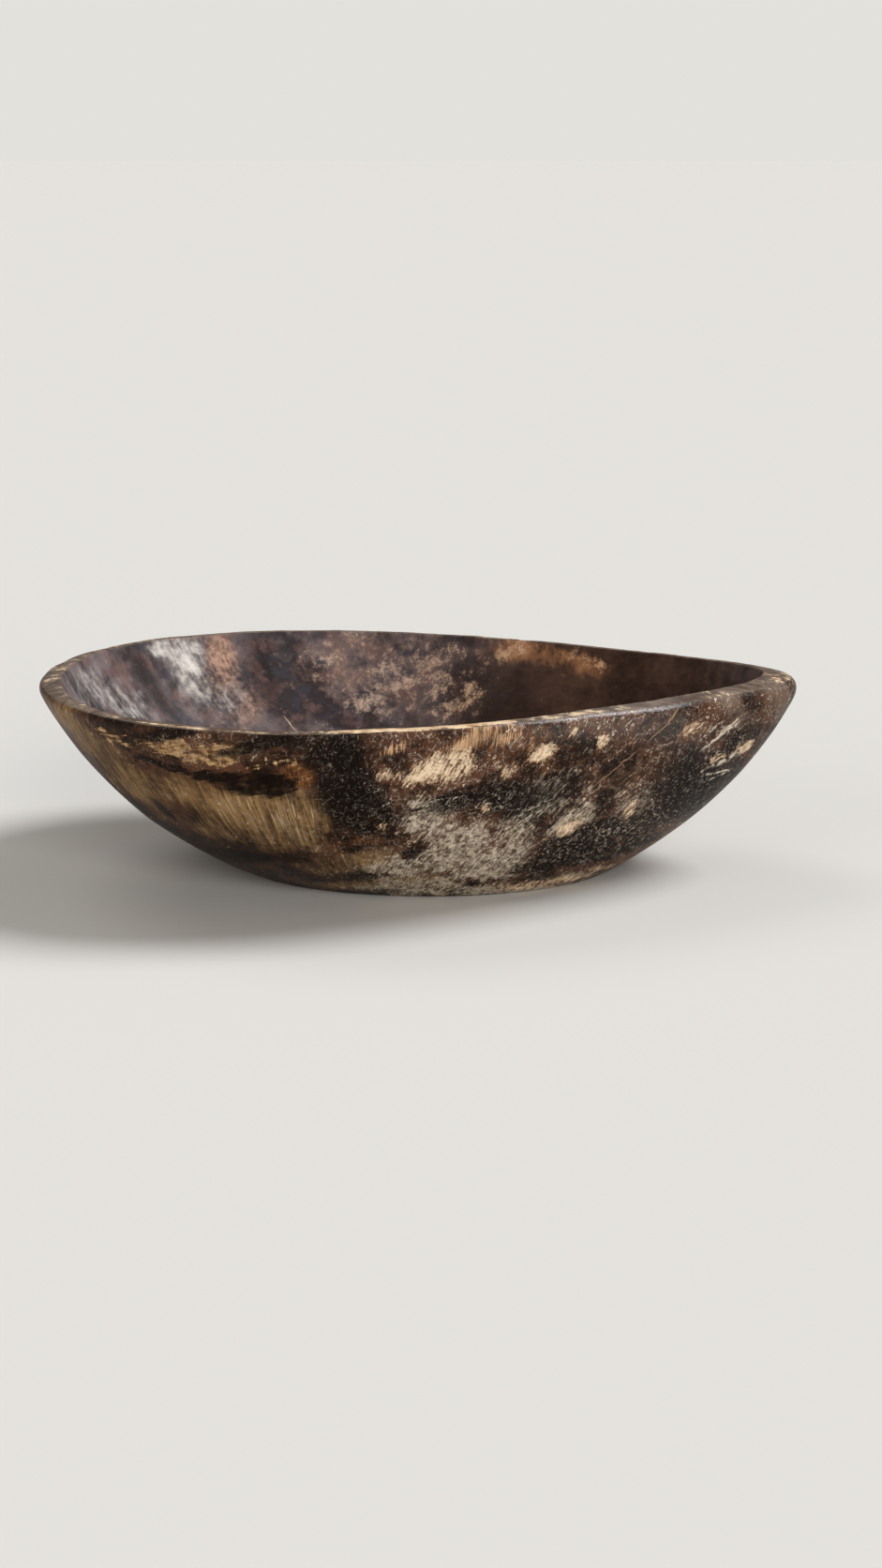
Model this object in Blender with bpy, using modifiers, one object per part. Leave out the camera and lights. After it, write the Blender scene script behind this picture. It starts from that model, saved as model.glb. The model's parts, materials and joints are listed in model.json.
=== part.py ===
"""A wooden bowl hewn from one block: an egg-shaped rim, flaring walls, a flat foot and a dished hollow.

Metres, +Z up. The origin is on the table under the middle of the rim. +X points at the narrow end,
+Y at the side that is furthest from the viewer.
"""

import math
from itertools import pairwise

import bmesh
import bpy
from mathutils import Vector

# The rim in plan, to the sharp edge that wear then rounds. Taper narrows it from the blunt end to
# the narrow end, and pinch draws both ends in. The shift makes up for the narrow end's larger round.
RIM_LENGTH = 0.4025
RIM_WIDTH = 0.3225
RIM_SHIFT = 0.0008
RIM_TAPER = 0.39
RIM_PINCH = 0.11

# Height of the outer edge of the lip above the table, at four stations round the bowl.
RIM_HEIGHT_NARROW_END = 0.0998
RIM_HEIGHT_FAR_SIDE = 0.0988
RIM_HEIGHT_BLUNT_END = 0.1008
RIM_HEIGHT_NEAR_SIDE = 0.0992

# The lip is thick at the ends, where the grain is short, and thin along the sides.
LIP_NARROW_END = 0.022
LIP_FAR_RIGHT = 0.010
LIP_FAR_SIDE = 0.0075
LIP_FAR_LEFT = 0.0085
LIP_BLUNT_END = 0.014
LIP_NEAR_LEFT = 0.0085
LIP_NEAR_SIDE = 0.0075
LIP_NEAR_RIGHT = 0.014
LIP_SLOPE = 8.0  # degrees that the lip falls outwards

# The foot is the flat oval that the bowl stands on.
FOOT_LENGTH = 0.194
FOOT_WIDTH = 0.156
FOOT_SHIFT = 0.0048  # towards the narrow end

# The outside of the wall is an arc that leaves the foot and reaches the lip at these slopes.
WALL_FOOT_ANGLE = 25.0
WALL_LIP_ANGLE = 66.0

# The hollow: a dished floor, and a wall that leaves it and reaches the lip at these slopes.
FLOOR_LENGTH = 0.176
FLOOR_WIDTH = 0.142
FLOOR_THICKNESS = 0.013  # at the middle
HOLLOW_FLOOR_ANGLE = 8.0
HOLLOW_LIP_ANGLE = 64.0

# Worn edges. The outer edge of the lip is rubbed round at the ends, where hands hold the bowl.
OUTER_ROUND_NARROW_END = 0.011
OUTER_ROUND_SIDES = 0.0036
OUTER_ROUND_BLUNT_END = 0.006
INNER_ROUND = 0.0017
FOOT_ROUND = 0.0015
EDGE_SEGMENTS = 4

# How finely the form is divided.
AROUND = 144
WALL_RINGS = 10
HOLLOW_RINGS = 10
FLOOR_RINGS = 3
FLOOR_CAP = 0.12  # share of the floor's width that the last flat face takes

TURN = 2 * math.pi
RIM_HEIGHTS = (RIM_HEIGHT_NARROW_END, RIM_HEIGHT_FAR_SIDE, RIM_HEIGHT_BLUNT_END, RIM_HEIGHT_NEAR_SIDE)
LIP_WIDTHS = (
    LIP_NARROW_END,
    LIP_FAR_RIGHT,
    LIP_FAR_SIDE,
    LIP_FAR_LEFT,
    LIP_BLUNT_END,
    LIP_NEAR_LEFT,
    LIP_NEAR_SIDE,
    LIP_NEAR_RIGHT,
)
OUTER_ROUNDS = (OUTER_ROUND_NARROW_END, OUTER_ROUND_SIDES, OUTER_ROUND_BLUNT_END, OUTER_ROUND_SIDES)
WOOD_COLOUR = (0.105, 0.062, 0.036, 1.0)
WOOD_ROUGHNESS = 0.62


def clear_scene():
    for found in list(bpy.data.objects):
        bpy.data.objects.remove(found, do_unlink=True)


def around(stations, angle):
    """The value at an angle, eased between values set evenly round the bowl from the narrow end."""
    place = angle / TURN % 1 * len(stations)
    start = int(place)
    ease = (1 - math.cos(math.pi * (place - start))) / 2
    return stations[start % len(stations)] * (1 - ease) + stations[(start + 1) % len(stations)] * ease


def oval(length, width, shift, angle):
    return Vector((shift + length / 2 * math.cos(angle), width / 2 * math.sin(angle), 0))


def egg_width(angle):
    """How far the rim stands from the long axis, before it is scaled to its width."""
    along = math.cos(angle)
    return math.sin(angle) * (1 - RIM_TAPER * along - RIM_PINCH * along**2)


WIDEST = max(egg_width(TURN * step / 2 / AROUND) for step in range(AROUND))


def rim_plan(angle):
    along = RIM_SHIFT + RIM_LENGTH / 2 * math.cos(angle)
    return Vector((along, RIM_WIDTH / 2 * egg_width(angle) / WIDEST, 0))


def rim_inward(angle):
    """The level direction across the lip, into the hollow."""
    step = TURN / AROUND
    along = rim_plan(angle + step) - rim_plan(angle - step)
    return Vector((-along.y, along.x, 0)).normalized()


def arc(start, end, rings):
    """Shares of the way out and up, along an arc whose slope turns from start to end, in degrees."""
    first = math.radians(start)
    last = math.radians(end)
    for ring in range(rings + 1):
        slope = first + (last - first) * ring / rings
        out = (math.sin(slope) - math.sin(first)) / (math.sin(last) - math.sin(first))
        up = (math.cos(first) - math.cos(slope)) / (math.cos(first) - math.cos(last))
        yield out, up


def outer_lip(angle):
    return rim_plan(angle) + Vector((0, 0, around(RIM_HEIGHTS, angle)))


def inner_lip(angle):
    width = around(LIP_WIDTHS, angle)
    rise = Vector((0, 0, width * math.tan(math.radians(LIP_SLOPE))))
    return outer_lip(angle) + rim_inward(angle) * width + rise


def floor_rise(share):
    """Height of the dished floor above the table, at a share of the way from its middle to its edge."""
    dish = math.tan(math.radians(HOLLOW_FLOOR_ANGLE)) * FLOOR_WIDTH / 4
    return FLOOR_THICKNESS + dish * share**2


def section(angle):
    """The wall's section at an angle: up the outside, over the lip and down the hollow to the floor."""
    foot = oval(FOOT_LENGTH, FOOT_WIDTH, FOOT_SHIFT, angle)
    for out, up in arc(WALL_FOOT_ANGLE, WALL_LIP_ANGLE, WALL_RINGS):
        point = foot.lerp(outer_lip(angle), out)
        point.z = outer_lip(angle).z * up
        yield point
    floor_edge = oval(FLOOR_LENGTH, FLOOR_WIDTH, FOOT_SHIFT, angle)
    floor_edge.z = floor_rise(1)
    lip = inner_lip(angle)
    for out, up in reversed(list(arc(HOLLOW_FLOOR_ANGLE, HOLLOW_LIP_ANGLE, HOLLOW_RINGS))):
        point = floor_edge.lerp(lip, out)
        point.z = floor_edge.z + (lip.z - floor_edge.z) * up
        yield point
    for ring in range(1, FLOOR_RINGS + 1):
        share = 1 - (1 - FLOOR_CAP) * ring / FLOOR_RINGS
        point = oval(FLOOR_LENGTH * share, FLOOR_WIDTH * share, FOOT_SHIFT, angle)
        point.z = floor_rise(share)
        yield point


def soften(mesh, ring_edges, rounds_by_ring):
    """Marks the edges of some rings for the Bevel modifier, as shares of the widest round.

    The rounds of a ring are set evenly round the bowl from the narrow end.
    """
    weights = mesh.edges.layers.float["bevel_weight_edge"]
    widest = max(max(rounds) for rounds in rounds_by_ring.values())
    for ring, rounds in rounds_by_ring.items():
        for step, edge in enumerate(ring_edges[ring]):
            edge[weights] = around(rounds, TURN * (step + 0.5) / AROUND) / widest
    return widest


def loft(sections):
    """A closed mesh through the sections, with the foot and the middle of the floor as flat caps."""
    mesh = bmesh.new()
    mesh.edges.layers.float.new("bevel_weight_edge")
    columns = [[mesh.verts.new(point) for point in points] for points in sections]
    for left, right in pairwise(columns + columns[:1]):
        for ring in range(len(left) - 1):
            mesh.faces.new((left[ring], right[ring], right[ring + 1], left[ring + 1]))
    rings = [list(ring) for ring in zip(*columns)]
    mesh.faces.new(reversed(rings[0]))
    mesh.faces.new(rings[-1])
    ring_edges = [[mesh.edges.get(pair) for pair in pairwise(ring + ring[:1])] for ring in rings]
    return mesh, ring_edges


def wood():
    material = bpy.data.materials.new("aged_wood")
    material.use_nodes = True
    shader = material.node_tree.nodes["Principled BSDF"]
    shader.inputs["Base Color"].default_value = WOOD_COLOUR
    shader.inputs["Roughness"].default_value = WOOD_ROUGHNESS
    shader.inputs["Metallic"].default_value = 0.0
    return material


def bowl_body(collection):
    sections = [list(section(TURN * step / AROUND)) for step in range(AROUND)]
    mesh, ring_edges = loft(sections)
    foot_ring = 0
    outer_lip_ring = WALL_RINGS
    inner_lip_ring = WALL_RINGS + 1
    widest = soften(
        mesh,
        ring_edges,
        {
            foot_ring: (FOOT_ROUND,),
            outer_lip_ring: OUTER_ROUNDS,
            inner_lip_ring: (INNER_ROUND,),
        },
    )
    data = bpy.data.meshes.new("bowl_body")
    mesh.to_mesh(data)
    mesh.free()
    data.shade_smooth()
    data.materials.append(wood())
    body = bpy.data.objects.new("bowl_body", data)
    collection.objects.link(body)
    edges = body.modifiers.new("worn_edges", "BEVEL")
    edges.limit_method = "WEIGHT"
    edges.width = widest
    edges.segments = EDGE_SEGMENTS
    return body


def main():
    clear_scene()
    collection = bpy.data.collections.new("carved_wooden_bowl")
    bpy.context.scene.collection.children.link(collection)
    bowl_body(collection)


main()
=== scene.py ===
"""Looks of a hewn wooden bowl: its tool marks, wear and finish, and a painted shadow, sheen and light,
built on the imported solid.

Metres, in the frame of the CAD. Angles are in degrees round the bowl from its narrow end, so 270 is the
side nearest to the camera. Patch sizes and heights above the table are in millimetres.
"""

import json
import math
from functools import reduce

import bmesh
import bpy
import numpy as np
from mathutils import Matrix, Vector, noise


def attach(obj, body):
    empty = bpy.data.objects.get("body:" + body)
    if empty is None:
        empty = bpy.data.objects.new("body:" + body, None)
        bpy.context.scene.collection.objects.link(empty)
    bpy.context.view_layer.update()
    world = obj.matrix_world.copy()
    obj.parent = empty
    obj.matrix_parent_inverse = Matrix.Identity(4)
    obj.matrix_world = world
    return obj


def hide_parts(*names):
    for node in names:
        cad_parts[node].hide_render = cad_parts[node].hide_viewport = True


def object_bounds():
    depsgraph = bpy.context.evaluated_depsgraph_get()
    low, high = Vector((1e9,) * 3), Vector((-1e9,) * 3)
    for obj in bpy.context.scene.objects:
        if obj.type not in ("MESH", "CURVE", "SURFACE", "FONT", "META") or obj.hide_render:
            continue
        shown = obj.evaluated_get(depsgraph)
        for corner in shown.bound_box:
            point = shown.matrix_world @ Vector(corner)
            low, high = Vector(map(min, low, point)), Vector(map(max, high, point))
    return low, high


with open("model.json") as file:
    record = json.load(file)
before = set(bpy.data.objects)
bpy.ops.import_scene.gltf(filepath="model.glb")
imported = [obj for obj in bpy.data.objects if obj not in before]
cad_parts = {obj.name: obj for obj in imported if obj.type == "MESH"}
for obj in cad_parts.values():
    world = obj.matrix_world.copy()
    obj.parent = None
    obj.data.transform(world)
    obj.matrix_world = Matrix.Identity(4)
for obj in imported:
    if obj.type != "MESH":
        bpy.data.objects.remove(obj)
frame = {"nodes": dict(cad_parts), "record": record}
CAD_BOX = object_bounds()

# The camera of the photograph: lens and sensor in millimetres, elevation in degrees.
LENS = 70.0
SENSOR = 36.0
VIEW_ELEVATION = 11.81
VIEW_DISTANCE = 1.6118
VIEW_TARGET = (0.01134, 0.0, 0.04204)

MM = 0.001
TURN = 2 * math.pi

# The middle of the foot, which the angles turn about, and the highest point of the lip.
CENTRE = Vector(frame["record"]["mounts"][0]["pos_m"])
RIM_TOP = CAD_BOX[1][2]

# The fine mesh.
WELD = 1e-6  # distance within which points are one
LEVEL_NORMAL = 0.9999  # how far up the normal of the floor's flat middle points
JOIN_ANGLE = 60  # degrees up to which two triangles are joined
DIVISIONS = 2  # how often each face is divided in four

# How far up or down the normals point, from 0 to 1.
UPRIGHT = 0.2  # at most on an upright wall, and at least in the hollow
LIP_EDGE_TILT = (0.70, 0.88)  # across the rounded edges of the lip
LIP_FLAT_TILT = (0.90, 0.97)  # where the lip turns flat
FOOT_EDGE_TILT = (0.1, 0.9)  # across the rounded edge of the foot
FOOT_FLAT_TILT = 0.7  # at least on the flat of the foot

# Heights that the flat of the foot and its rounded edge stay under.
FOOT_FLAT_TOP = 0.5 * MM
FOOT_EDGE_TOP = 2 * MM

# Tool marks on the walls: broad waves and hollow facets.
WAVE_DEPTH = 0.5 * MM
WAVES = 11  # in a metre
FACET_DEPTH = 0.7 * MM
FACETS = np.array((30, 30, 24))  # in a metre, along each axis
FACET_MIDDLE = 0.25  # share of that depth by which their middles lie under the smooth form
MARKS_AT_LIP = 0.25  # share that is left there
MARKS_START = (0.5 * MM, 6 * MM)  # heights over which they start above the foot

# Rise and fall of the lip: how close together its waves are, where in the noise they start, height.
LIP_WAVES = (
    (3.1, 4.2, 0.6 * MM),
    (11, 9.7, 0.25 * MM),
    (38, 2.4, 0.15 * MM),
)

# Depths under the top of the rim, from where each starts to where it is whole.
LIP_DEPTHS = (14 * MM, 10 * MM)  # the lip
MARKS_DEPTHS = (30 * MM, 6 * MM)  # the thinning out of the tool marks
SWAY_DEPTHS = (30 * MM, 4 * MM)  # the rise and fall of the lip

# A place on the wall is as far up it as its distance from the middle and this share of its height.
HEIGHT_SHARE = 0.5
# Heights between which the floor of the hollow gives way to its wall.
FLOOR_ENDS = (18 * MM, 60 * MM)

# The flat map of the surface, in metres.
MAP_RADIUS = 0.16  # at which a step round the wall has its true length
MAP_SEAM = 90  # angle at which the walls are cut open, at the back
HOLLOW_SHIFT = 3.0  # how far the hollow is moved aside
LEVEL_SHIFT = 7.0  # how far the level faces are moved aside
LEVEL_RADIUS = 0.07  # within which faces count as level

# The second map, which the colours can be baked into, and which fills the unit square.
BAKE_MARGIN = 0.005  # gap round its parts
BAKE_STRIP = 0.25  # height of a strip of wall, and of half a disc
HOLLOW_DISC = 0.33  # middle of the hollow's disc
FOOT_DISC = 0.83  # middle of the foot's disc
DISC_SIDE = 0.8  # how far round from the side, in radians, the hollow's disc has to fit

# How a patch of wear ends.
PATCH_STEEPNESS = 1.3
PATCH_FADE = 0.7  # leaves half of its strength at its half width

# Wear and painted light and shade, by kind and side: angle, height, half width, half height, lean in
# degrees, strength. Cream and ash are worn pale, bars are worn in short strokes, and dust is a grey
# haze, near the lip round the narrow end also a painted sheen. Gold and band are tan, rust is warm
# brown, umber is dark brown, and soot and scorch are black. One soot patch is a painted shadow and one
# gold patch is painted light.
CREAM_OUTSIDE = (
    (275.5, 80, 11, 8, 15, 1.0),
    (269, 76, 12, 6, 10, 0.9),
    (262.5, 76, 6, 3.5, 0, 0.6),
    (260.5, 45, 3, 5, 0, 0.55),
    (265.5, 38, 5, 3, 0, 0.6),
    (301.7, 92.5, 2.6, 2.4, 0, 0.8),
    (309.5, 86.8, 4.5, 3, 20, 0.95),
    (295, 82.3, 9, 4.2, 18, 1.0),
    (317.1, 83.1, 2.5, 5, -30, 0.5),
    (331.7, 85.8, 8, 3.2, 30, 0.6),
    (348.5, 70, 8, 3, 42, 0.95),
    (343, 64.5, 9, 2.5, 40, 0.6),
    (287, 73.1, 5, 6, 20, 0.7),
    (283, 58, 3, 4, 20, 0.5),
    (308.3, 38.5, 9, 5, 30, 0.8),
    (301, 33, 6, 3, 20, 0.5),
    (324.5, 43.2, 6, 5, 40, 0.8),
    (330, 8.5, 14, 3, 4, 0.75),
    (319, 6, 24, 4, 4, 0.75),
    (303, 4, 22, 4, 4, 0.65),
    (341, 9, 10, 3, 0, 0.5),
)
BARS_OUTSIDE = (
    (264.5, 90.5, 7, 2.6, 0, 0.8),
    (278.5, 92.6, 13, 3.4, 0, 1.0),
    (286, 92, 9, 3, 0, 0.75),
)
ASH_OUTSIDE = (
    (268.8, 53.6, 11, 11, 0, 0.85),
    (277.8, 35.5, 18, 12, 0, 1.0),
    (289.7, 22, 16, 10, 0, 1.0),
    (266, 22, 26, 10, 0, 0.85),
    (295, 35, 10, 8, 25, 0.5),
    (308, 40, 15, 9, 30, 0.85),
    (325, 44, 12, 8, 40, 0.75),
    (296, 63, 18, 6, 15, 0.5),
    (297, 52, 18, 6, 25, 0.55),
    (340.5, 80, 10, 4, 47, 0.65),
    (346, 63, 9, 3.5, 44, 0.5),
    (333, 50, 16, 7, 42, 0.2),
    (343, 47, 14, 6, 42, 0.25),
    (329, 62, 14, 6, 45, 0.35),
    (320, 56, 12, 6, 40, 0.3),
    (322, 5, 34, 5, 0, 0.7),
    (300, 3, 40, 4, 0, 0.9),
    (277, 4, 34, 5, 0, 0.85),
    (262, 8, 24, 6, 0, 0.75),
    (272, 13, 24, 7, 0, 0.5),
    (286, 15, 14, 6, 0, 0.5),
)
# A grey haze: dust, and near the lip round the narrow end a painted sheen.
DUST_AND_SHEEN_OUTSIDE = (
    (340, 96, 26, 6, 0, 0.65),
    (352, 90, 16, 10, 0, 0.65),
    (326, 97, 20, 5, 0, 0.5),
    (0, 88, 20, 14, 0, 0.5),
)
GOLD_OUTSIDE = (
    (227, 66, 20, 12, 0, 0.65),
    (236, 57, 26, 14, 0, 1.0),
    (244, 52, 18, 17, 0, 1.0),
    (212, 74, 26, 18, 0, 0.5),
    (208, 88, 14, 12, 0, 0.6),
    (199, 93, 24, 10, 0, 0.6),
    (214, 58, 20, 16, 0, 0.5),
    (205, 62, 30, 26, 0, 0.5),
    (228, 44, 20, 9, 0, 0.65),
    (238, 36, 24, 10, 0, 0.7),
    (222, 36, 12, 8, 0, 0.5),
    (251, 24, 34, 13, 0, 0.72),
    # Made stronger to lighten the wall low on the near left, where it faces down into shade: painted
    # light on tan wood.
    (250, 9, 36, 8, 0, 0.9),
    (264, 12, 24, 8, 0, 0.7),
)
BAND_OUTSIDE = (
    (215, 91, 14, 5, -4, 0.4),
    (221, 90, 16, 5, -4, 0.5),
    (229, 88, 15, 5.5, -6, 0.9),
    (236, 86, 15, 6, -6, 0.95),
    (243, 83, 12, 3.5, -8, 0.5),
    (249, 79, 7, 6, 0, 0.4),
)
SOOT_AND_SHADE_OUTSIDE = (
    (230, 97.5, 34, 4, 0, 0.7),
    (245, 96, 40, 4, 0, 0.8),
    (216.5, 48, 4, 11, 0, 0.85),
    # Painted shadow: darkens the wall low on the near left, where it faces down into shade.
    (224, 24, 24, 8, 0, 0.95),
    (255, 72, 15, 22, 0, 0.95),
    (258, 55, 12, 14, 0, 0.9),
    (252, 88, 14, 6, 0, 0.6),
    (281, 62, 24, 6, 8, 0.7),
    (294, 56, 22, 10, 5, 0.7),
    (310, 32, 24, 9, 25, 0.8),
    (322, 34, 24, 8, 25, 0.6),
    (336, 37, 22, 9, 35, 0.75),
    (345, 76, 14, 9, 42, 0.6),
    (345, 45, 20, 24, 40, 0.75),
    (332, 58, 28, 14, 35, 0.6),
)
SCORCH_OUTSIDE = (
    (222.5, 81.5, 9, 1.6, -8, 0.9),
    (227, 79, 10, 2.2, -10, 1.0),
    (233, 76, 12, 3.6, -10, 1.0),
    (239, 72.5, 12, 7, -8, 1.0),
    (244, 71, 9, 7, -5, 1.0),
    (266, 31, 7, 4, 0, 0.7),
    (275, 62, 18, 6, 5, 0.75),
    (285, 56, 14, 6, 8, 0.7),
    (302, 17, 16, 4, 8, 0.7),
    (313, 21, 22, 8, 8, 0.9),
    (327, 20, 22, 8, 6, 0.9),
    (338, 23, 18, 8, 8, 0.8),
)
RUST_OUTSIDE = (
    (247.5, 77, 10, 9, 0, 1.0),
    (226, 42, 20, 9, 0, 0.5),
    (211, 66, 20, 22, 0, 0.55),
    (314.4, 63.8, 17, 7, 10, 0.25),
    (317, 83, 3, 6, 40, 0.7),
    (331.7, 85.8, 9, 4, 30, 0.8),
    (281, 91, 26, 5, 0, 0.7),
    (205, 86, 20, 14, 0, 0.6),
    (220, 73, 10, 3.5, 0, 0.6),
    (253, 38, 20, 5, 0, 0.7),
    (298, 84, 42, 12, 0, 0.5),
    (330, 72, 30, 10, 30, 0.2),
)
ASH_INSIDE = (
    (138.6, 92, 12, 9, 0, 1.0),
    (143.5, 96, 10, 5, 0, 0.8),
    (140, 78, 10, 12, 0, 0.6),
    (136, 64, 14, 14, 0, 0.45),
    (165, 85, 16, 18, 0, 0.42),
    (158, 68, 14, 14, 0, 0.5),
    (172, 92, 14, 10, 0, 0.42),
    (182, 78, 30, 30, 0, 0.42),
    (146, 80, 40, 34, 0, 0.15),
    (166, 66, 34, 26, 0, 0.25),
    (132, 66, 16, 20, 0, 0.2),
)
CREAM_INSIDE = (
    (68, 95.7, 9, 3.5, 0, 0.85),
    (72, 91, 6, 3, 0, 0.6),
    (51.4, 95.5, 4, 3, 0, 0.8),
    (47, 93.5, 4, 2.5, 0, 0.7),
    (43, 91.4, 4, 2.5, 0, 0.8),
    (113, 78, 7, 7, 0, 0.55),
    (105, 61, 9, 7, 0, 0.6),
    (100, 80, 8, 6, 0, 0.5),
    (96, 72, 8, 7, 0, 0.5),
    (88, 70, 10, 8, 0, 0.55),
    (84, 60, 10, 7, 0, 0.5),
    (79.8, 70, 7, 9, 0, 0.55),
    (88, 86, 12, 6, 0, 0.45),
    (96, 68, 44, 26, 0, 0.32),
    (110, 92, 34, 8, 0, 0.35),
)
RUST_INSIDE = (
    (132, 90, 10, 11, 0, 0.85),
    (134, 76, 14, 13, 0, 0.6),
    (130, 62, 9, 9, 0, 0.55),
    (136, 58, 12, 12, 0, 0.35),
    (112, 74, 30, 20, 0, 0.3),
    (92, 74, 30, 20, 0, 0.35),
    (68, 94, 14, 5, 0, 0.9),
    (57, 91.5, 20, 5, 0, 0.6),
    (46, 91, 12, 5, 0, 0.5),
    (106, 92, 40, 12, 0, 0.25),
)
SOOT_INSIDE = (
    (150, 87, 8, 12, 0, 0.75),
    (149.5, 72, 8, 14, 0, 0.7),
    (173, 92, 8, 24, 0, 0.35),
    (125, 78, 9, 30, 0, 0.6),
    (118, 60, 26, 18, 0, 0.35),
    (70, 70, 30, 20, 0, 0.4),
)
UMBER_INSIDE = (
    (34, 84, 90, 60, 0, 1.0),
    (40, 60, 80, 40, 0, 0.9),
    (340, 60, 90, 60, 0, 0.9),
)

# Where the wall is smooth, with few scratches, where it is full of them, and where hands have
# polished it.
CALM_OUTSIDE = (
    (233, 76, 40, 9, -10, 1.0),
    (240, 73, 26, 13, -8, 1.0),
    (222, 97, 80, 6, 0, 0.8),
    (244, 95, 24, 5, 0, 0.7),
    (206, 70, 60, 50, 0, 1.0),
    (228, 25, 44, 14, 0, 0.9),
    (230, 55, 40, 20, 0, 0.8),
    (316, 62, 18, 9, 15, 0.6),
    (254, 70, 20, 24, 0, 0.5),
)
FLECKED_OUTSIDE = (
    (262, 82, 26, 8, 0, 0.4),
    (288, 84, 40, 12, 0, 0.7),
    (306, 78, 40, 16, 0, 0.8),
    (300, 58, 34, 16, 20, 0.8),
    (322, 70, 40, 16, 30, 0.8),
    (322, 46, 40, 12, 30, 0.8),
    (340, 92, 30, 8, 0, 0.4),
    (330, 26, 40, 10, 10, 0.4),
)
GLOSS_OUTSIDE = (
    (306, 98, 44, 6, 0, 1.0),
    (322, 98, 30, 6, 0, 0.6),
)

# The scratches slant up to the right round one angle, and stand upright away from it.
SLANT = 47  # degrees
SLANT_MIDDLE = 330
SLANT_STEP = (0.55, 0.95)  # from upright to slanting, where 0 is opposite that angle and 1 is at it
FIBRE_LEAN = 6  # degrees that the fibres lean from upright

# Marks drawn one by one, from an angle and a height to another, and their width: pale scratches on
# both sides, drying checks that show tan, and dark cracks.
PALE_OUTSIDE = (
    (336.6, 72, 343.4, 85.5, 1.7),
    (338, 74, 345, 88, 1.3),
    (335, 78, 340, 89, 1.0),
    (340, 80, 345, 92, 1.0),
    (340.5, 61.4, 348.9, 70.1, 1.6),
    (342, 60, 350, 68, 1.2),
    (340.5, 56.3, 350, 58, 1.3),
    (342, 52, 350, 56, 1.0),
    (328.5, 31.5, 330.2, 34, 1.3),
    (314, 27.5, 315.8, 29.5, 1.2),
    (286.2, 43, 301.7, 58.4, 0.7),
    (288, 41, 303, 56, 0.6),
    (290, 50, 300, 60, 0.5),
)
PALE_INSIDE = ((124.8, 56, 123.4, 47, 0.9),)
CHECKS = (
    (329, 99, 321, 80, 1.0),
    (321, 80, 310, 60, 0.9),
)
CRACKS = (
    (275, 2.7, 281.5, 9, 1.3),
    (279.5, 8.6, 290, 9.5, 2.0),
    (287, 9.1, 300, 13.2, 1.4),
)

# Where the lip is rubbed down to pale wood, by angle, half width and strength: its flat, the outer half
# of its flat alone, and its edges.
LIP_PALE = (
    (262, 34, 1.0),
    (279, 22, 0.8),
    (296, 24, 0.55),
    (312, 20, 0.45),
    (352, 30, 0.25),
    (150, 60, 0.5),
    (190, 60, 0.42),
    (66, 24, 0.6),
)
LINE_PALE = (
    (228, 44, 0.95),
    (245, 26, 0.6),
)
OUTER_HALF = (0.50, 0.75)  # shares of the lip's width over which that half starts
EDGE_PALE = (
    (262, 22, 0.7),
    (276, 16, 0.6),
    (293, 10, 0.45),
    (357, 14, 0.6),
    (338, 10, 0.45),
)

# Ranges for the patches on the sides that the photograph doesn't show.
BACK = (-8, 196)  # angles of the outer wall
WALL = (8, 94)  # its heights
FRONT = (196, 356)  # angles of the hollow
DEEP = (16, 96)  # its heights
HIDDEN_FLATNESS = (0.35, 0.9)  # height to width
HIDDEN_LEAN = (-10, 50)
SEED = 11


def srgb(red, green, blue):
    """A colour as it is read off a screen, from 0 to 255, in Blender's linear values."""
    linear = []
    for channel in (red, green, blue):
        share = channel / 255
        linear.append(share / 12.92 if share <= 0.04045 else ((share + 0.055) / 1.055) ** 2.4)
    return (*linear, 1.0)


# Colours of the outer wall.
DARK = srgb(33, 20, 13)
BROWN = srgb(88, 58, 42)
RUST = srgb(124, 79, 44)
RUST_DARK = srgb(58, 35, 22)
GOLD = srgb(160, 126, 84)
OLIVE = srgb(70, 48, 30)
STRAW = srgb(222, 198, 158)
BAND = srgb(200, 163, 117)
BAND_DARK = srgb(92, 60, 34)
ASH = srgb(214, 199, 176)
ASH_DARK = srgb(80, 64, 53)
# Grey of the dust and of the painted sheen near the lip.
DUST_AND_SHEEN_GREY = srgb(128, 112, 98)
# Black of soot, scorch and cracks, and of the painted shadow low on the near left.
BLACK = srgb(15, 8, 5)
CREAM = srgb(240, 215, 183)
TAN = srgb(174, 139, 106)
BARE = srgb(206, 162, 120)
PALE = srgb(226, 211, 192)

# Colours of the hollow.
SMOKE = srgb(114, 100, 99)
DUSK = srgb(56, 48, 49)
MAUVE = srgb(116, 88, 82)
SLATE = srgb(66, 66, 76)
FLOOR_DARK = srgb(58, 44, 38)
FLOOR_PALE = srgb(116, 97, 84)
UMBER = srgb(50, 35, 28)
UMBER_LIGHT = srgb(88, 64, 52)
RUST_INNER = srgb(190, 152, 130)
RUST_INNER_DARK = srgb(132, 98, 80)
ORANGE = srgb(178, 124, 84)
ORANGE_PALE = srgb(220, 176, 136)
ASH_INNER = srgb(230, 223, 214)
ASH_INNER_DARK = srgb(124, 115, 112)
CREAM_INNER = srgb(206, 178, 158)
SOOT_INNER = srgb(28, 22, 22)

# Colours of the lip.
LIP_GREY = srgb(132, 115, 101)
LIP_DARK = srgb(84, 68, 58)
LIP_CREAM = srgb(236, 208, 170)
LIP_TAN = srgb(178, 136, 96)

# Finish of the wood.
WOOD_SHINE = 0.06
WOOD_ROUGHNESS = 0.42  # where it is dark and outside
POLISH_ROUGHNESS = 0.28  # where hands hold it
RELIEF_DEPTH = 0.7 * MM  # of its grain and scratches
RELIEF_STRENGTH = 0.7
WOBBLE = (3 * MM, 3 * MM, 0)  # how far a drawn scratch wanders
WOBBLES = 160.0  # in a metre

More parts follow.
